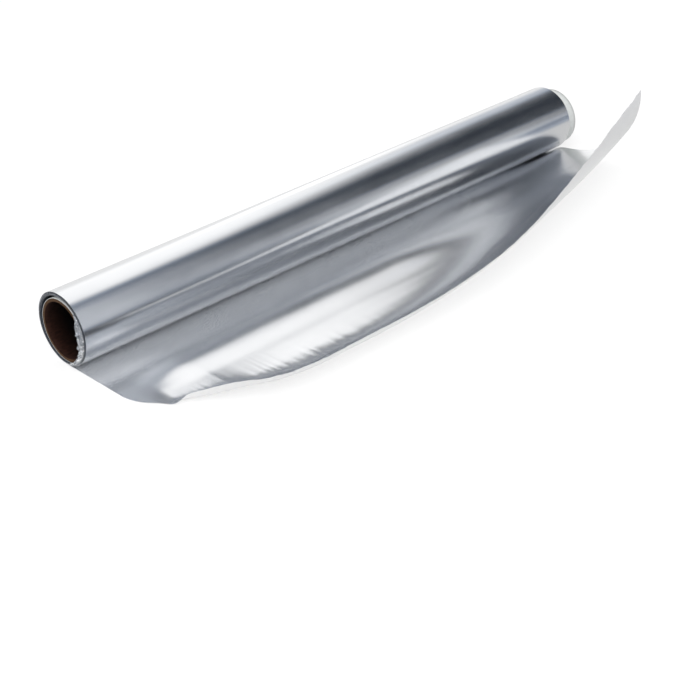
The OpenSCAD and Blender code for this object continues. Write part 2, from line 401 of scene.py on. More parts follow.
def inner_turns(sizes, finish):
    """All the turns inside the outermost as one sheet, dark slate on both faces as painted shade. Each has
    drifted a little along the roll.
    """
    drift = np.random.default_rng(11).uniform(-1.0, 1.0, sizes.turns + 1)
    drift[1] = FIRST_DRIFT
    grids, maps = [], []
    start = 0.0
    for k in range(1, sizes.turns):
        x, turn, radius, middle, distance = turn_surface(sizes, k, columns=9, steps=97)
        share = (turn - TURN_START) / (TURN_END - TURN_START)
        shift = sizes.drift * (drift[k] * (1 - smooth(share)) + drift[k + 1] * smooth(share))
        grids.append(turn_points(x + shift, turn, radius, middle)[:, :-1])
        maps.append(strip_uv(x, -start - distance)[:, :-1])
        start += float(distance[0, -1])
    grid, uv = np.concatenate(grids, axis=1), np.concatenate(maps, axis=1)
    # Both faces take the dark slate metal of painted shade, and the cut edges a darkened slate too
    return foil_sheet("inner_turns", grid[::-1], uv[::-1], 2 * sizes.sheet,
                      [finish["shaded_foil"], finish["shaded_foil"], finish["cut_edge"]], rim=2)


# Loose tail

# Powers of the fall-off round the torn near corner, of the growth of the lip's angle along the roll and
# of the fall-off of its slope across it
CORNER_TEAR_POWER, LIP_GROWTH_POWER, LIP_FALL_POWER = 1.6, 1.7, 1.9
# Shares of the coarse and the fine noise in the torn edge's line
COARSE_TEAR, FINE_TEAR = 0.7, 0.45
# How strongly the grid's rows gather at the free edge, where 1 is evenly spread
ROW_GATHERING = 1.5
# The ridge: where it begins, is highest and ends across the tail, and then [place, distance] of its rise
# and of its fall along the roll
RIDGE_ACROSS = (5 * MM, 30 * MM, 50 * MM)
RIDGE_RISE, RIDGE_FALL = (8 * MM, 25 * MM), (210 * MM, 60 * MM)
# The near corner's rise: [place, distance] across the tail and along the roll
CORNER_ACROSS, CORNER_ALONG = (36 * MM, 20 * MM), (14 * MM, 9 * MM)
# Distance over which the wrinkles begin, the share of streaks in them, and how far the flutter reaches
WRINKLES_BEGIN, STREAK_SHARE, FLUTTER_WIDTH = 12 * MM, 0.3, 1.5 * MM


def torn_length(sizes, width, x):
    """Length of the tail at x: the torn edge bows out to one crest by a power of the distance to it,
    falls back round the torn near corner, and strays from that line by a coarse and a fine noise."""
    crest = width - sizes.crest_setback
    share = np.where(x < crest, 1 - x / crest, (x - crest) / sizes.crest_setback)
    side = np.where(x < crest, sizes.near_length, sizes.far_length)
    line = sizes.crest_length - (sizes.crest_length - side) * share**sizes.tear_power
    line = line - sizes.corner_tear * np.exp(-((x / sizes.corner_tear_width) ** CORNER_TEAR_POWER))
    line = line - sizes.corner_nip * np.exp(-x / sizes.corner_nip_width)
    stray = COARSE_TEAR * pattern("coarse tear", x, 0.0) + FINE_TEAR * pattern("fine tear", x, 0.0)
    return line + sizes.raggedness * stray


def lip_section(sizes, x, flat):
    """The turned-up lip: it starts narrow and steep, and widens and flattens along the roll. Its slope
    falls off with the distance to the free edge, and the sheet's steps are summed up along that slope
    into a run, a rise and the slope itself."""
    edge = flat[:, -1:] - flat
    share = fade_in(x, sizes.lip_start, sizes.lip_rise) * fade_out(x, sizes.lip_end, sizes.lip_fade)
    growth = np.clip((x - sizes.lip_start) / sizes.lip_spread, 0.0, 1.0)
    flattening = growth**LIP_GROWTH_POWER
    lip_angle = sizes.lip_near_angle + (sizes.lip_far_angle - sizes.lip_near_angle) * flattening
    lip_width = sizes.lip_near_width + (sizes.lip_far_width - sizes.lip_near_width) * growth
    slope = lip_angle * share * np.exp(-((edge / lip_width) ** LIP_FALL_POWER))
    step = np.diff(flat, axis=1, prepend=flat[:, :1])
    return np.cumsum(step * np.cos(slope), axis=1), np.cumsum(step * np.sin(slope), axis=1), slope


def curl_section(sizes, w):
    """The large curl at the distance w past its first straight line: turn, run and rise of a spiral
    that eases into an arc. The two series are the usual ones for an easing spiral."""
    ease, radius = sizes.curl_ease, sizes.curl_radius
    eased = np.clip(w, 0.0, ease)
    t = eased**2 / (2 * ease * radius)
    run = eased * (1 - t**2 / 10 + t**4 / 216)
    rise = eased * (t / 3 - t**3 / 42 + t**5 / 1320)
    arc = t + np.maximum(w - ease, 0.0) / radius
    run = np.minimum(w, 0.0) + run + radius * (np.sin(arc) - np.sin(t))
    rise = rise + radius * (np.cos(t) - np.cos(arc))
    return arc, run, rise


def tail_surface(sizes, width, sheet, columns, rows):
    """The tail's grid: the lip's section is laid on the sheet that curls one way, along straight lines
    skewed to the roll, and is lifted a little beside the roll's far end. Returns, over the grid, the
    place along the roll, the distance along the flat strip, the points and the sheet's direction up."""
    x = np.linspace(0.0, width, columns)[:, None]
    share = 1 - (1 - np.linspace(0.0, 1.0, rows)[None, :]) ** ROW_GATHERING
    flat = torn_length(sizes, width, x) * share
    run, rise, slope = lip_section(sizes, x, flat)
    sine, cosine = math.sin(sizes.curl_skew), math.cos(sizes.curl_skew)
    reach = (x - width) * sine + run * cosine + sizes.curl_lead
    turn, curled_run, curled_rise = curl_section(sizes, reach)
    freed = 1 - np.exp(-((np.maximum(run - sizes.root, 0.0) / sizes.edge_lift_rise) ** 2))
    beside = np.maximum(0.0, 1 - (width - x) / sizes.edge_lift_width) ** 2
    ahead = np.array([sine, -cosine, 0.0])
    along = np.array([cosine, sine, 0.0])
    up = np.array([0.0, 0.0, 1.0])
    turn, slope = turn[..., None], slope[..., None]
    outward = ahead * np.cos(turn) + up * np.sin(turn)
    square_up = up * np.cos(turn) - ahead * np.sin(turn)
    onward = outward * cosine - along * sine
    face = square_up * np.cos(slope) - onward * np.sin(slope)
    foot = np.stack(np.broadcast_arrays(x, -run, 0.0), axis=-1)
    foot = foot + ahead * (curled_run - reach)[..., None]
    foot = foot + up * ((curled_rise + sizes.edge_lift * beside) * freed)[..., None]
    grid = foot + square_up * rise[..., None] + up * TABLE_HEIGHT
    return x + 0.0 * flat, flat, grid + face * sheet / 2, face


def tail_relief(sizes, x, flat):
    """Height of the tail over its smooth form. A soft ridge runs along the roll, as a squared sine
    across the tail, and the near corner rises. Streaks along the roll and softer dents lie over the
    free sheet, and a fine flutter dies out from the torn edge. The stretch under the roll stays flat."""
    edge = flat[:, -1:] - flat
    ridge = np.sin(np.pi * np.interp(flat, RIDGE_ACROSS, (0.0, 0.5, 1.0))) ** 2
    ridge = sizes.ridge * ridge * fade_in(x, *RIDGE_RISE) * fade_out(x, *RIDGE_FALL)
    corner = sizes.corner_rise * fade_in(flat, *CORNER_ACROSS) * fade_out(x, *CORNER_ALONG)
    dents = pattern("small dents", x, flat) + pattern("large dents", x, flat)
    free = fade_in(flat, 2 * sizes.root, WRINKLES_BEGIN)
    wrinkles = sizes.wrinkle * (STREAK_SHARE * pattern("streaks", x, flat) + dents) * free
    flutter = sizes.flutter * pattern("flutter", x, edge) * np.exp(-edge / FLUTTER_WIDTH)
    return ridge + corner + wrinkles + flutter


def loose_tail(sizes, wound, finish):
    """The loose tail: bright side up, dull side down, with a ragged free edge."""
    x, flat, grid, face = tail_surface(sizes, wound.width, wound.sheet, columns=561, rows=86)
    grid = grid + face * tail_relief(sizes, x, flat)[..., None]
    uv = strip_uv(x, flat)
    return foil_sheet("loose_tail", grid[::-1], uv[::-1], wound.sheet,
                      [finish["tail_side"], finish["dull_side"]])


# Crumpled edge

# Angles over which the edge closes in and its crumples grow, from both its ends
RUFFLE_ENDS, RUFFLE_TAPER = 0.5, 0.25
# Share of its reach past which it closes in, and the share that it reaches even at its ends
CLOSING_FROM, LEAST_REACH = 0.35, 0.3
# Shares of the crumples' height: in the folds, and in the toss of a point outwards and along the roll
FOLDED, TOSSED_OUT, TOSSED_ALONG = 0.7, 0.35, 0.3
# Largest toss of a point round the roll, in radians, and the share of the reach where a toss is full
TOSSED_ROUND, TOSS_FULL = 0.010, 0.5


def crumpled_edge(sizes, wound, tube, finish):
    """The crumpled edge of the innermost turn: it grows out of that turn and closes in on the tube's
    end, and its points are tossed about so that each small face tilts its own way."""
    steps, rings = 240, 15
    low, high = turn_radii(wound, wound.turns)[0], turn_radii(wound, wound.turns - 1)[1]
    root_radius, root_middle = (high - low) / 2 - wound.sheet, (high + low) / 2
    rim_radius = tube.radius - tube.wall + sizes.bore_margin
    axis_height = -TABLE_HEIGHT
    turn = np.linspace(sizes.low_angle, sizes.high_angle, steps)[:, None]
    share = np.linspace(0.0, 1.0, rings)[None, :]
    ends = fade_in(turn, sizes.low_angle, RUFFLE_ENDS) * fade_out(turn, sizes.high_angle, RUFFLE_ENDS)
    tapered = fade_in(turn, sizes.low_angle, RUFFLE_TAPER) * fade_out(turn, sizes.high_angle, RUFFLE_TAPER)
    closing = fade_in(share, CLOSING_FROM, 1 - CLOSING_FROM) * ends
    rng = np.random.default_rng(41)
    toss = rng.uniform(-1.0, 1.0, (3, steps, rings)) * fade_in(share, 0.0, TOSS_FULL) * tapered
    fold = pattern("folds", turn, share) * closing * tapered
    radius = root_radius + (rim_radius - root_radius) * closing
    radius = radius + sizes.crumple * (FOLDED * fold + TOSSED_OUT * toss[0])
    middle = root_middle + (axis_height - root_middle) * closing
    reach = sizes.reach * (LEAST_REACH + (1 - LEAST_REACH) * ends)
    x = sizes.root - (reach + sizes.root) * share
    x = x + sizes.scallop * pattern("scallops", turn, 0.0) * closing * tapered
    x = x + sizes.crumple * TOSSED_ALONG * toss[1]
    spread = turn + TOSSED_ROUND * toss[2]
    y = -radius * np.cos(spread)
    z = TABLE_HEIGHT + middle + radius * np.sin(spread)
    grid = np.stack(np.broadcast_arrays(x, y, z), axis=-1)
    uv = strip_uv(x, turn * root_radius)
    # Its metal is a darker copy of the foil's, as painted shade
    return foil_sheet("crumpled_edge", grid, uv, sizes.sheet,
                      [finish["crumpled_foil"], finish["crumpled_foil"]], smooth_faces=False)


# Cardboard tube

# Points across an end face and along the wall, and points round the axis
END_POINTS, WALL_POINTS, ROUND_POINTS = 11, 121, 160
# Depth of the steps between the plies on an end face
PLY_STEP = 0.05 * MM
# Depth and width of the groove where the edges of the outer ply meet
SEAM_DEPTH, SEAM_WIDTH = 0.06 * MM, 0.5 * MM
# Distance within which a radius counts as the same
SAME_RADIUS = 0.01 * MM
# Share of the outer ply that shows pale on an end face
PALE_SHARE = 0.6


def tube_profile(sizes):
    """The wall's closed outline, as [place along the tube, radius], with the plies as small steps on
    both end faces."""
    inner = sizes.radius - sizes.wall
    across = np.linspace(0.0, 1.0, END_POINTS)
    step = PLY_STEP * (np.arange(END_POINTS) % 2)
    body = np.linspace(0.0, 1.0, WALL_POINTS)
    start, stop = sizes.start, sizes.start + sizes.span
    near = np.stack([start + step, inner + across * sizes.wall], axis=1)
    outer = np.stack([start + body * sizes.span, 0 * body + sizes.radius], axis=1)[1:-1]
    far = np.stack([stop - step, sizes.radius - across * sizes.wall], axis=1)
    bore = np.stack([stop - body * sizes.span, 0 * body + inner], axis=1)[1:-1]
    return np.concatenate([near, outer, far, bore])


def board_tube(sizes, finish):
    """The tube as its outline carried round the axis, with a shallow groove where the edges of the
    spiral-wound outer ply meet: the groove is at whole values of place over ply width less turns."""
    profile = tube_profile(sizes)
    turn = np.linspace(0.0, 2 * np.pi, ROUND_POINTS, endpoint=False)
    x, radius = profile[:, 0][:, None], profile[:, 1][:, None]
    phase = (x / sizes.ply_width - turn[None, :] / (2 * np.pi)) % 1.0
    near_seam = np.minimum(phase, 1 - phase) * sizes.ply_width
    depth = np.where(radius > sizes.radius - SAME_RADIUS, SEAM_DEPTH, 0.0)
    grooved = radius - depth * np.exp(-((near_seam / SEAM_WIDTH) ** 2))
    grid = np.stack(np.broadcast_arrays(x, grooved * np.cos(turn), grooved * np.sin(turn)), axis=-1)
    rings = len(profile)
    i, j = np.meshgrid(np.arange(rings), np.arange(ROUND_POINTS), indexing="ij")
    i1, j1 = (i + 1) % rings, (j + 1) % ROUND_POINTS
    corners = [(i, j), (i, j1), (i1, j1), (i1, j)]
    quads = np.stack([(ring * ROUND_POINTS + place).ravel() for ring, place in corners], axis=1)
    face_radius = (profile[:, 1] + np.roll(profile[:, 1], -1)) / 2
    pale = face_radius > sizes.radius - PALE_SHARE * sizes.ply
    bore = face_radius < sizes.radius - sizes.wall + SAME_RADIUS
    kinds = np.repeat(np.where(bore, 2, np.where(pale, 1, 0)), ROUND_POINTS)
    uv = strip_uv(x, turn[None, :] * sizes.radius).reshape(-1, 2)
    return new_piece("board_tube", grid.reshape(-1, 3), quads,
                     [finish["kraft_board"], finish["pale_ply"], finish["bore_board"]], kinds, uv)


# Materials

# Cells of the foil's noises in a metre, across the foil and along it
ROLLING_LINES = (1800.0, 50.0, 1.0)
FINE_GRAIN = (2200.0, 2200.0, 1.0)
MATTE_SPECKS = (2400.0, 1500.0, 1.0)
SOFT_CLOUDS = (28.0, 55.0, 1.0)
# Stretch of the board's noises along the axes: its fibres lie along the tube, and the rest are even
FIBRES, EVEN = (0.35, 1.0, 1.0), (1.0, 1.0, 1.0)
# Cells of the noises on the cut edge and on the board in a metre
EDGE_SPECKLES, FIBRE_CELLS, BOARD_CLOUDS = 2500.0, 900.0, 120.0
# Levels of a noise between which it is mapped
NOISE_LOW, NOISE_HIGH = 0.3, 0.7
# Heights of the bumps
LINE_BUMP, GRAIN_BUMP, FIBRE_BUMP, CLOUD_BUMP = 0.012 * MM, 0.006 * MM, 0.05 * MM, 0.1 * MM
# Roughness of a matte speck, the noise levels over which its edge is soft, and the share of the worn
# stretch's roughness that fresh foil has
MATTE_ROUGHNESS, SPECK_SOFTNESS, FRESH_GLOSS = 0.62, 0.08, 0.6
# Tone of the metal where its clouds are lowest, as a share of the full tone
CLOUDED_TONE = 0.97
# The black of the painted shade that the bore falls away into, from its near end inwards
PAINTED_SHADE_BLACK = (0.0015, 0.001, 0.001)

# The foil's finishes: the colour that each takes, and its look
FOIL_LOOKS = {
    "bright_side": ("bright", dict(roughness=0.23, spread=0.02, anisotropy=0.7, grain=0.15)),
    "tail_side": ("bright", dict(roughness=0.28, spread=0.03, anisotropy=0.75, grain=0.5, matte=0.5,
                                 worn=((0.17, 0.25), (0.008, 0.036)))),
    "dull_side": ("dull", dict(roughness=0.62, spread=0.03, anisotropy=0.2, grain=0.5, matte=0.55,
                               metallic=0.35)),
    "shaded_foil": ("shaded", dict(roughness=0.4, spread=0.05, anisotropy=0.0, grain=0.5, matte=0.6)),
    "crumpled_foil": ("crumpled", dict(roughness=0.16, spread=0.03, anisotropy=0.0, grain=0.6, matte=0.6)),
}
# The board's finishes, in the same way
BOARD_LOOKS = {
    "kraft_board": ("kraft", dict(contrast=0.35)),
    "pale_ply": ("ply", dict(contrast=0.06)),
    # The bore falls away into black from its near end inwards: painted shade
    "bore_board": ("bore", dict(contrast=0.5, depth=(-0.001, 0.013))),
}


def node_tree(material):
    """Empties a material's node tree and returns it with its output."""
    material.use_nodes = True
    tree = material.node_tree
    tree.nodes.clear()
    return tree, tree.nodes.new("ShaderNodeOutputMaterial")


def joined(tree, source, target):
    """Links two sockets."""
    tree.links.new(source, target)


def axis_parts(tree, vector):
    """The three numbers of a vector, by axis."""
    parts = tree.nodes.new("ShaderNodeSeparateXYZ")
    joined(tree, vector, parts.inputs[0])
    return parts.outputs


def stretched_noise(tree, coordinates, scale, detail, stretch, roughness=0.5):
    """A noise texture on coordinates that are stretched along each axis first."""
    mapping = tree.nodes.new("ShaderNodeMapping")
    mapping.inputs["Scale"].default_value = stretch
    noise = tree.nodes.new("ShaderNodeTexNoise")
    noise.inputs["Scale"].default_value = scale
    noise.inputs["Detail"].default_value = detail
    noise.inputs["Roughness"].default_value = roughness
    joined(tree, coordinates, mapping.inputs["Vector"])
    joined(tree, mapping.outputs["Vector"], noise.inputs["Vector"])
    return noise.outputs["Fac"]


def map_range(tree, source, low, high, to_low, to_high, interpolation="LINEAR"):
    """Maps a value from one range to another."""
    node = tree.nodes.new("ShaderNodeMapRange")
    node.interpolation_type = interpolation
    for socket, value in zip(("From Min", "From Max", "To Min", "To Max"), (low, high, to_low, to_high)):
        node.inputs[socket].default_value = value
    joined(tree, source, node.inputs["Value"])
    return node.outputs["Result"]


def soft_step(tree, value, low, high):
    """Eases from 0 to 1 while a value goes from low to high, or from 1 to 0 if low is the greater."""
    if low > high:
        return map_range(tree, value, high, low, 1.0, 0.0, "SMOOTHSTEP")
    return map_range(tree, value, low, high, 0.0, 1.0, "SMOOTHSTEP")


def combined(tree, operation, first, second):
    """Combines two values, either of which may be a plain number."""
    node = tree.nodes.new("ShaderNodeMath")
    node.operation = operation
    for socket, value in zip(node.inputs, (first, second)):
        if isinstance(value, (int, float)):
            socket.default_value = value
        else:
            joined(tree, value, socket)
    return node.outputs[0]


def bump(tree, height, distance, strength, below=None):
    """A bump node, laid on another one if that is given."""
    node = tree.nodes.new("ShaderNodeBump")
    node.inputs["Distance"].default_value = distance
    node.inputs["Strength"].default_value = strength
    joined(tree, height, node.inputs["Height"])
    if below is not None:
        joined(tree, below, node.inputs["Normal"])
    return node.outputs["Normal"]


def colour_mix(tree, factor, first, second):
    """Mixes two colours by a factor. The first may be a socket."""
    node = tree.nodes.new("ShaderNodeMix")
    node.data_type = "RGBA"
    if isinstance(first, tuple):
        node.inputs["A"].default_value = (*first, 1.0)
    else:
        joined(tree, first, node.inputs["A"])
    node.inputs["B"].default_value = (*second, 1.0)
    joined(tree, factor, node.inputs["Factor"])
    return node.outputs["Result"]


def principled_material(name, metallic, roughness):
    """A new material with one plain shader. Returns the material, its node tree and that shader."""
    material = bpy.data.materials.new(name)
    tree, output = node_tree(material)
    shader = tree.nodes.new("ShaderNodeBsdfPrincipled")
    shader.inputs["Metallic"].default_value = metallic
    shader.inputs["Roughness"].default_value = roughness
    joined(tree, shader.outputs["BSDF"], output.inputs["Surface"])
    return material, tree, shader


def foil_material(name, metal, roughness, spread, anisotropy, grain, matte=0.8, worn=None,
                  metallic=1.0):
    """Rolled foil: rolling lines run along the strip, so the gloss spreads across it, the gloss varies
    softly from place to place, and fine specks are matte. U of the strip's map runs across the foil,
    V along it. Matte is the noise level above which a speck is matte. Worn gives the places across and
    along the foil over which the worn stretch dies out: past them it has no specks and more gloss."""
    material, tree, shader = principled_material(name, metallic, roughness)
    shader.inputs["Anisotropic"].default_value = anisotropy
    uv = tree.nodes.new("ShaderNodeUVMap")
    uv.uv_map = "strip"
    tangent = tree.nodes.new("ShaderNodeTangent")
    tangent.direction_type = "UV_MAP"
    tangent.uv_map = "strip"
    joined(tree, tangent.outputs["Tangent"], shader.inputs["Tangent"])
    strip = uv.outputs["UV"]
    lines = stretched_noise(tree, strip, 1.0, 3.0, ROLLING_LINES)
    fine = stretched_noise(tree, strip, 1.0, 3.0, FINE_GRAIN, 0.6)
    cloudy = stretched_noise(tree, strip, 1.0, 4.0, SOFT_CLOUDS, 0.6)
    specks = stretched_noise(tree, strip, 1.0, 2.0, MATTE_SPECKS)
    rolled = bump(tree, lines, LINE_BUMP, grain)
    joined(tree, bump(tree, fine, GRAIN_BUMP, grain, rolled), shader.inputs["Normal"])
    base = map_range(tree, cloudy, NOISE_LOW, NOISE_HIGH, roughness - spread, roughness + spread)
    share = map_range(tree, specks, matte, matte + SPECK_SOFTNESS, 0.0, 1.0)
    if worn is not None:
        (across_from, across_to), (along_from, along_to) = worn
        parts = axis_parts(tree, strip)
        stretch = combined(tree, "MULTIPLY", soft_step(tree, parts["X"], across_to, across_from),
                           soft_step(tree, parts["Y"], along_to, along_from))
        share = combined(tree, "MULTIPLY", share, stretch)
        base = combined(tree, "MULTIPLY", base, map_range(tree, stretch, 0.0, 1.0, FRESH_GLOSS, 1.0))
    gloss = tree.nodes.new("ShaderNodeMix")
    gloss.inputs["B"].default_value = MATTE_ROUGHNESS
    joined(tree, share, gloss.inputs["Factor"])
    joined(tree, base, gloss.inputs["A"])
    joined(tree, gloss.outputs["Result"], shader.inputs["Roughness"])
    clouded = tuple(CLOUDED_TONE * part for part in metal)
    joined(tree, colour_mix(tree, cloudy, clouded, metal), shader.inputs["Base Color"])
    return material


def cut_edge_material(tone):
    """The turns' cut edges: rough, half shaded metal, whose darkened slate tone is painted shade, with
    speckles of tone.
    """
    material, tree, shader = principled_material("cut_edge", metallic=0.6, roughness=0.5)
    place = tree.nodes.new("ShaderNodeTexCoord").outputs["Object"]
    speckle = stretched_noise(tree, place, EDGE_SPECKLES, 2.0, EVEN)
    dark, light = tuple(0.6 * part for part in tone), tuple(1.6 * part for part in tone)
    joined(tree, colour_mix(tree, speckle, dark, light), shader.inputs["Base Color"])
    return material


def board_material(name, tone, contrast, depth=None):
    """Paper board: fibres that lie mostly along the wound strip, cloudy colour and a fuzzy bump. Depth
    gives the two places along the tube between which the colour falls away into black, as painted shade
    deep in the bore."""
    material, tree, shader = principled_material(name, metallic=0.0, roughness=0.85)
    shader.inputs["Specular IOR Level"].default_value = 0.2
    place = tree.nodes.new("ShaderNodeTexCoord").outputs["Object"]
    fibres = stretched_noise(tree, place, FIBRE_CELLS, 5.0, FIBRES, 0.7)
    clouds = stretched_noise(tree, place, BOARD_CLOUDS, 3.0, EVEN)
    dark = tuple(part * (1 - contrast) for part in tone)
    light = tuple(min(1.0, part * (1 + contrast)) for part in tone)
    shade = colour_mix(tree, map_range(tree, fibres, NOISE_LOW, NOISE_HIGH, 0.0, 1.0), dark, light)
    if depth is not None:
        # Painted shade: the colour falls away into black deeper inside the tube
        shade = colour_mix(tree, soft_step(tree, axis_parts(tree, place)["X"], *depth), shade, PAINTED_SHADE_BLACK)
    joined(tree, shade, shader.inputs["Base Color"])
    fuzz = bump(tree, fibres, FIBRE_BUMP, 0.6, bump(tree, clouds, CLOUD_BUMP, 0.4))
    joined(tree, fuzz, shader.inputs["Normal"])
    return material


def finishes(colours):
    """All finishes of the object by name, made once."""
    if "bright_side" not in bpy.data.materials:
        for name, (tone, look) in FOIL_LOOKS.items():
            foil_material(name, tuple(getattr(colours, tone)), **look)
        for name, (tone, look) in BOARD_LOOKS.items():
            board_material(name, tuple(getattr(colours, tone)), **look)
        cut_edge_material(tuple(colours.cut))
    return {name: bpy.data.materials[name] for name in (*FOIL_LOOKS, *BOARD_LOOKS, "cut_edge")}


# Studio

# Middle of the floor, which the lamp points at too, and the floor's rings and sides
STAGE_X, STAGE_Y = 0.15, -0.03
FLOOR_RINGS, FLOOR_SIDES = (0.3, 1.0, 3.0, 8.0), 96
# Where the floor is seen directly: the tone that takes the shadow, and the strength of its own glow
SEEN_FLOOR_TONE, SEEN_FLOOR_GLOW = 0.35, 0.68
# Soft cards that the metal mirrors. Each has its start, end and softness round the roll, in degrees from
# straight up towards the front, the same three along the roll, in metres, and its level.
SOFT_CARDS = {
    "overhead": ((-200, 4, 12), (-9, 9, 0.2), 0.42),
    "overhead near": ((-66, 4, 11), (0.5, 1.40, 0.25), 0.69),
    "behind": ((-200, -66, 9), (-9, 9, 0.2), 0.38),
    "side": ((29, 84, 4), (-1.0, 0.42, 0.08), 1.75),
    "side low": ((4, 29, 8), (-9, 0.42, 0.08), 0.15),
    "side back": ((20, 120, 8), (-9, -1.0, 0.2), 0.4),
    "front near": ((12, 90, 10), (0.4, 0.9, 0.06), 0.47),
    "front middle": ((64, 82, 4), (1.17, 1.4, 0.04), 0.2),
    "front far": ((50, 80, 8), (1.38, 1.75, 0.05), 0.75),
    "far glow": ((70, 89, 9), (1.42, 9, 0.08), 0.22),
    "table near": ((92, 200, 1), (0.3, 1.4, 0.06), 0.3),
    "table far": ((88, 200, 2), (1.4, 9, 0.08), 0.3),
}
# Level of the surround between the cards
SHADE_LEVEL = 0.022
# The overhead cards lean back: the places along the roll between which they do, and how far, in degrees
LEAN_FROM, LEAN_TO, LEAN = 1.0, 1.5, 42
# Dark stretches of the surround are slate, and it is white from this level on
SLATE, WHITE, WHITE_LEVEL = (0.75, 0.95, 1.30), (1.0, 1.0, 1.0), 0.8
# The surround's two ends round the roll, in degrees, its grid, and its reach along the roll both ways
SURROUND_FROM, SURROUND_TO = -100, 176.2
SURROUND_COLUMNS, SURROUND_ROWS = 49, 80
SURROUND_REACH = 6.0
# Level cards beside the roll that the metal mirrors: their x and y ranges, in metres, and their level
TABLE_CARDS = {
    "near_table": ((-0.3, -0.006), (-0.1, 0.05), 0.03),
    "back_table": ((-0.006, 0.3), (0.0175, 2.0), 0.78),
    "far_table": ((0.3015, 2.0), (-0.10, 0.3), 0.6),
}
# How far over the floor a card lies
CARD_HEIGHT = 1 * MM
# The lamp's size and place, in metres
LAMP_SIZE, LAMP_PLACE = 1.2, (-0.5, -0.7, 1.2)
# The camera's place, in metres, and its axes: to the right and up in the picture
CAMERA_PLACE = Vector((-0.295762, -0.484071, 0.309203))
CAMERA_RIGHT = Vector((0.717550, -0.695852, -0.030197))
CAMERA_UP = Vector((0.368559, 0.342550, 0.864190))
# Width of the camera's sensor, in millimetres
SENSOR_WIDTH = 36.0


def seen_directly(tree):
    """1 for camera, glossy and transmission rays, and 0 for the others."""
    path = tree.nodes.new("ShaderNodeLightPath").outputs
    mirrored = combined(tree, "MAXIMUM", path["Is Camera Ray"], path["Is Glossy Ray"])
    return combined(tree, "MAXIMUM", mirrored, path["Is Transmission Ray"])


def floor_material(tone):
    """Plain paint for the light that falls on it. Seen directly, a darker paint takes the shadow and a
    glow lifts the whole to near white."""
    material = bpy.data.materials.new("studio_floor")
    tree, output = node_tree(material)
    plain = tree.nodes.new("ShaderNodeBsdfDiffuse")
    plain.inputs["Color"].default_value = (*tone, 1.0)
    shaded = tree.nodes.new("ShaderNodeBsdfDiffuse")
    shaded.inputs["Color"].default_value = (SEEN_FLOOR_TONE, SEEN_FLOOR_TONE, SEEN_FLOOR_TONE, 1.0)
    glow = tree.nodes.new("ShaderNodeEmission")
    glow.inputs["Strength"].default_value = SEEN_FLOOR_GLOW
    both = tree.nodes.new("ShaderNodeAddShader")
    mix = tree.nodes.new("ShaderNodeMixShader")
    joined(tree, shaded.outputs[0], both.inputs[0])
    joined(tree, glow.outputs[0], both.inputs[1])
    joined(tree, seen_directly(tree), mix.inputs[0])
    joined(tree, plain.outputs[0], mix.inputs[1])
    joined(tree, both.outputs[0], mix.inputs[2])
    joined(tree, mix.outputs[0], output.inputs["Surface"])
    return material


def studio_floor(settings):
    """A round pale floor that keeps the object's shadow: rings of quads round a hub."""
    turn = np.linspace(0.0, 2 * np.pi, FLOOR_SIDES, endpoint=False)
    radius = np.array(FLOOR_RINGS)[:, None]
    x, y = STAGE_X + radius * np.cos(turn), STAGE_Y + radius * np.sin(turn)
    points = np.stack([x, y, 0 * x + TABLE_HEIGHT], axis=-1).reshape(-1, 3).tolist()
    hub = len(points)
    points.append((STAGE_X, STAGE_Y, TABLE_HEIGHT))
    side = np.arange(FLOOR_SIDES)
    onward = (side + 1) % FLOOR_SIDES
    faces = np.stack([side, onward, 0 * side + hub], axis=1).tolist()
    for ring in range(len(FLOOR_RINGS) - 1):
        inner, outer = ring * FLOOR_SIDES, (ring + 1) * FLOOR_SIDES
        faces += np.stack([inner + side, outer + side, outer + onward, inner + onward], axis=1).tolist()
    mesh = bpy.data.meshes.new("studio_floor")
    mesh.from_pydata(points, [], faces)
    mesh.materials.append(floor_material(settings.floor))
    placed("studio_floor", mesh)


def card_level(tree, turn, place, card):
    """Level of one soft card: a soft window round the roll times a soft window along it."""
    (start, end, soft), (near, far, blur), level = card
    steps = (
        soft_step(tree, turn, math.radians(start - soft), math.radians(start + soft)),
        soft_step(tree, turn, math.radians(end + soft), math.radians(end - soft)),
        soft_step(tree, place, near - blur, near + blur),
        soft_step(tree, place, far + blur, far - blur),
    )
    for step in steps:
        level = combined(tree, "MULTIPLY", level, step)
    return level


def surround_material():
    """What the metal mirrors all round: the sum of the soft cards over the angle round the roll and the
    place along it, read from the surround's own Object coordinates. The overhead cards lean back along
    the roll, and dark stretches are slate."""
    material = bpy.data.materials.new("studio_surround")
    tree, output = node_tree(material)
    parts = axis_parts(tree, tree.nodes.new("ShaderNodeTexCoord").outputs["Object"])
    place = parts["X"]
    turn = combined(tree, "ARCTAN2", combined(tree, "MULTIPLY", parts["Y"], -1.0), parts["Z"])
    lean = map_range(tree, place, LEAN_FROM, LEAN_TO, 0.0, math.radians(LEAN))
    leaning = combined(tree, "ADD", turn, lean)
    total = SHADE_LEVEL
    for name, card in SOFT_CARDS.items():
        angle_round = leaning if name.startswith("overhead") else turn
        total = combined(tree, "ADD", total, card_level(tree, angle_round, place, card))
    tint = colour_mix(tree, map_range(tree, total, 0.0, WHITE_LEVEL, 0.0, 1.0), SLATE, WHITE)
    glow = tree.nodes.new("ShaderNodeEmission")
    joined(tree, tint, glow.inputs["Color"])
    joined(tree, total, glow.inputs["Strength"])
    joined(tree, glow.outputs[0], output.inputs["Surface"])
    return material


def mirrored_card(name, grid, material):
    """A card from a grid of points that only mirror reflections see."""
    mesh = bpy.data.meshes.new(name)
    mesh.from_pydata(grid.reshape(-1, 3).tolist(), [], grid_quads(*grid.shape[:2]).tolist())
    mesh.materials.append(material)
    card = placed(name, mesh)
    card.visible_camera = False
    card.visible_diffuse = False
    card.visible_shadow = False
    card.visible_transmission = False
    card.visible_volume_scatter = False


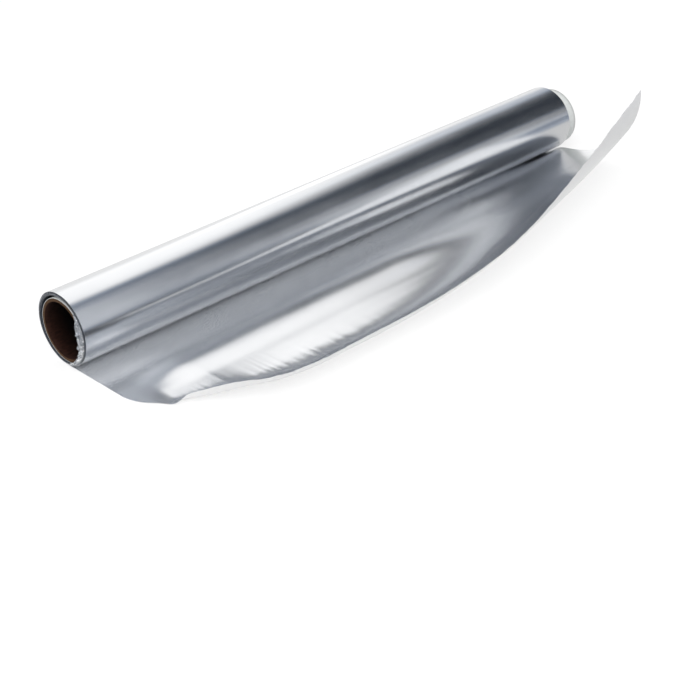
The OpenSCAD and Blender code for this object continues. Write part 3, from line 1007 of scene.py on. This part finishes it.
def table_card(name, x, y, level):
    """A level card just over the floor beside the roll, as x and y ranges, that only reflections see."""
    material = bpy.data.materials.new(name)
    tree, output = node_tree(material)
    glow = tree.nodes.new("ShaderNodeEmission")
    glow.inputs["Color"].default_value = (level, level, level, 1.0)
    joined(tree, glow.outputs[0], output.inputs["Surface"])
    x, y = np.meshgrid(x, y, indexing="ij")
    mirrored_card(name, np.stack([x, y, 0 * x + TABLE_HEIGHT + CARD_HEIGHT], axis=-1), material)


def studio_surround(settings):
    """A curved card round the roll's axis, laid on the floor where it would pass below it, and the level
    cards on the table beside the roll. Only reflections see them."""
    turn = np.radians(np.linspace(SURROUND_FROM, SURROUND_TO, SURROUND_ROWS))[None, :]
    x = np.linspace(-SURROUND_REACH, SURROUND_REACH, SURROUND_COLUMNS)[:, None]
    y, z = -settings.surround * np.sin(turn), settings.surround * np.cos(turn)
    z = np.maximum(z, TABLE_HEIGHT + CARD_HEIGHT)
    grid = np.stack(np.broadcast_arrays(x, y, z), axis=-1)
    mirrored_card("studio_surround", grid, surround_material())
    for name, card in TABLE_CARDS.items():
        table_card(name, *card)


def studio_world(settings):
    """White where it is seen or mirrored, and an even soft light elsewhere."""
    world = bpy.data.worlds.new("studio")
    world.use_nodes = True
    tree = world.node_tree
    tree.nodes.clear()
    output = tree.nodes.new("ShaderNodeOutputWorld")
    seen = tree.nodes.new("ShaderNodeBackground")
    seen.inputs["Color"].default_value = (*WHITE, 1.0)
    soft = tree.nodes.new("ShaderNodeBackground")
    soft.inputs["Color"].default_value = (*WHITE, 1.0)
    soft.inputs["Strength"].default_value = settings.ambient
    mix = tree.nodes.new("ShaderNodeMixShader")
    joined(tree, seen_directly(tree), mix.inputs[0])
    joined(tree, soft.outputs[0], mix.inputs[1])
    joined(tree, seen.outputs[0], mix.inputs[2])
    joined(tree, mix.outputs[0], output.inputs["Surface"])
    bpy.context.scene.world = world


def studio_lamp(settings):
    """One large soft lamp over the front left. The metal mirrors the surround and not the lamp."""
    light = bpy.data.lights.new("soft_lamp", "AREA")
    light.shape = "SQUARE"
    light.size = LAMP_SIZE
    light.energy = settings.lamp
    lamp = placed("soft_lamp", light)
    lamp.location = LAMP_PLACE
    aim = Vector((STAGE_X, STAGE_Y, 0.0)) - lamp.location
    lamp.rotation_euler = aim.to_track_quat("-Z", "Y").to_euler()
    lamp.visible_glossy = False


def studio_camera(settings):
    """The camera at the photograph's place, from its three axes."""
    back = CAMERA_RIGHT.cross(CAMERA_UP)
    axes = Matrix((CAMERA_RIGHT, CAMERA_UP, back)).transposed().to_4x4()
    data = bpy.data.cameras.new("camera")
    data.lens = settings.camera_lens
    data.sensor_width = SENSOR_WIDTH
    camera = placed("camera", data)
    camera.matrix_world = Matrix.Translation(CAMERA_PLACE) @ axes
    bpy.context.scene.camera = camera


# Operators


def seat(piece, node):
    """Lets a piece stand for its node and move with the part."""
    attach(piece, "root")
    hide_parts(node)


class FOILROLL_OT_tube(bpy.types.Operator):
    """Build the cardboard tube"""

    bl_idname = "foilroll.tube"
    bl_label = "Cardboard tube"

    def execute(self, context):
        scene = context.scene
        seat(board_tube(scene.foil_tube, finishes(scene.foil_finish)), "core")
        return {"FINISHED"}


class FOILROLL_OT_turns(bpy.types.Operator):
    """Build the wound foil: the outermost turn and the turns inside it"""

    bl_idname = "foilroll.turns"
    bl_label = "Wound foil"

    def execute(self, context):
        scene = context.scene
        finish = finishes(scene.foil_finish)
        seat(outer_turn(scene.foil_wound, finish), "foil")
        seat(inner_turns(scene.foil_wound, finish), "foil")
        return {"FINISHED"}


class FOILROLL_OT_tail(bpy.types.Operator):
    """Build the loose tail with its curled corner and turned-up lip"""

    bl_idname = "foilroll.tail"
    bl_label = "Loose tail"

    def execute(self, context):
        scene = context.scene
        piece = loose_tail(scene.foil_tail, scene.foil_wound, finishes(scene.foil_finish))
        seat(piece, "foil")
        return {"FINISHED"}


class FOILROLL_OT_ruffle(bpy.types.Operator):
    """Build the crumpled edge at the tube's near end"""

    bl_idname = "foilroll.ruffle"
    bl_label = "Crumpled edge"

    def execute(self, context):
        scene = context.scene
        finish = finishes(scene.foil_finish)
        piece = crumpled_edge(scene.foil_ruffle, scene.foil_wound, scene.foil_tube, finish)
        seat(piece, "foil")
        return {"FINISHED"}


class FOILROLL_OT_studio(bpy.types.Operator):
    """Set up the floor, the light and the camera"""

    bl_idname = "foilroll.studio"
    bl_label = "Studio"

    def execute(self, context):
        settings = context.scene.foil_studio
        studio_floor(settings)
        studio_surround(settings)
        studio_world(settings)
        studio_lamp(settings)
        studio_camera(settings)
        context.scene.view_settings.view_transform = "Standard"
        # The crease between the roll and its tail is mirrored many times over
        context.scene.cycles.glossy_bounces = context.scene.cycles.max_bounces
        return {"FINISHED"}


STEPS = ("tube", "turns", "tail", "ruffle", "studio")


class FOILROLL_PT_panel(bpy.types.Panel):
    """Lists the pieces of the foil roll and their sizes"""

    bl_idname = "FOILROLL_PT_panel"
    bl_label = "Foil Roll"
    bl_space_type = "VIEW_3D"
    bl_region_type = "UI"
    bl_category = "Foil Roll"

    def draw(self, context):
        layout = self.layout
        for step in STEPS:
            layout.operator("foilroll." + step)
        for name, group in GROUPS.items():
            box = layout.box()
            box.label(text=group.__doc__)
            for item in group.__annotations__:
                box.prop(getattr(context.scene, name), item)


CLASSES = (
    *GROUPS.values(),
    FOILROLL_OT_tube,
    FOILROLL_OT_turns,
    FOILROLL_OT_tail,
    FOILROLL_OT_ruffle,
    FOILROLL_OT_studio,
    FOILROLL_PT_panel,
)


def register():
    """Registers the classes and puts the property groups on the scene."""
    for item in CLASSES:
        bpy.utils.register_class(item)
    for name, group in GROUPS.items():
        setattr(bpy.types.Scene, name, bpy.props.PointerProperty(type=group))


def unregister():
    """Takes the property groups and the classes away again."""
    for name in GROUPS:
        delattr(bpy.types.Scene, name)
    for item in reversed(CLASSES):
        bpy.utils.unregister_class(item)


def main():
    register()
    for step in STEPS:
        getattr(bpy.ops.foilroll, step)()


if __name__ == "__main__":
    main()
